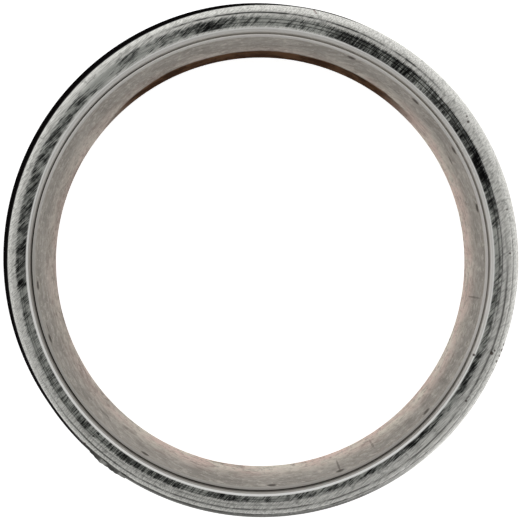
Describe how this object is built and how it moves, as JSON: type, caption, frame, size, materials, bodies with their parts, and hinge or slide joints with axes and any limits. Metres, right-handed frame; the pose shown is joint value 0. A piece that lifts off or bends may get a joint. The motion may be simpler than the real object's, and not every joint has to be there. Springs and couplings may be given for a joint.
{
  "type": "spiral wound ring gasket",
  "caption": "Spiral wound ring gasket of steel strip and graphite filler with a thin bore sleeve, for a pipe joint.",
  "frame": {"origin": "centre of the bore at the lower sealing face", "axes": "+Z along the bore axis, from the lower sealing face to the upper one"},
  "size_m": [0.0673, 0.0672, 0.013],
  "materials": {
    "strip_steel": "satin",
    "sleeve_steel": "matte",
    "graphite": "matte"
  },
  "bodies": {
    "root": {"bore_sleeve": "sleeve_steel", "wound_strip": "strip_steel", "graphite_filler": "graphite"}
  },
  "joints": []
}
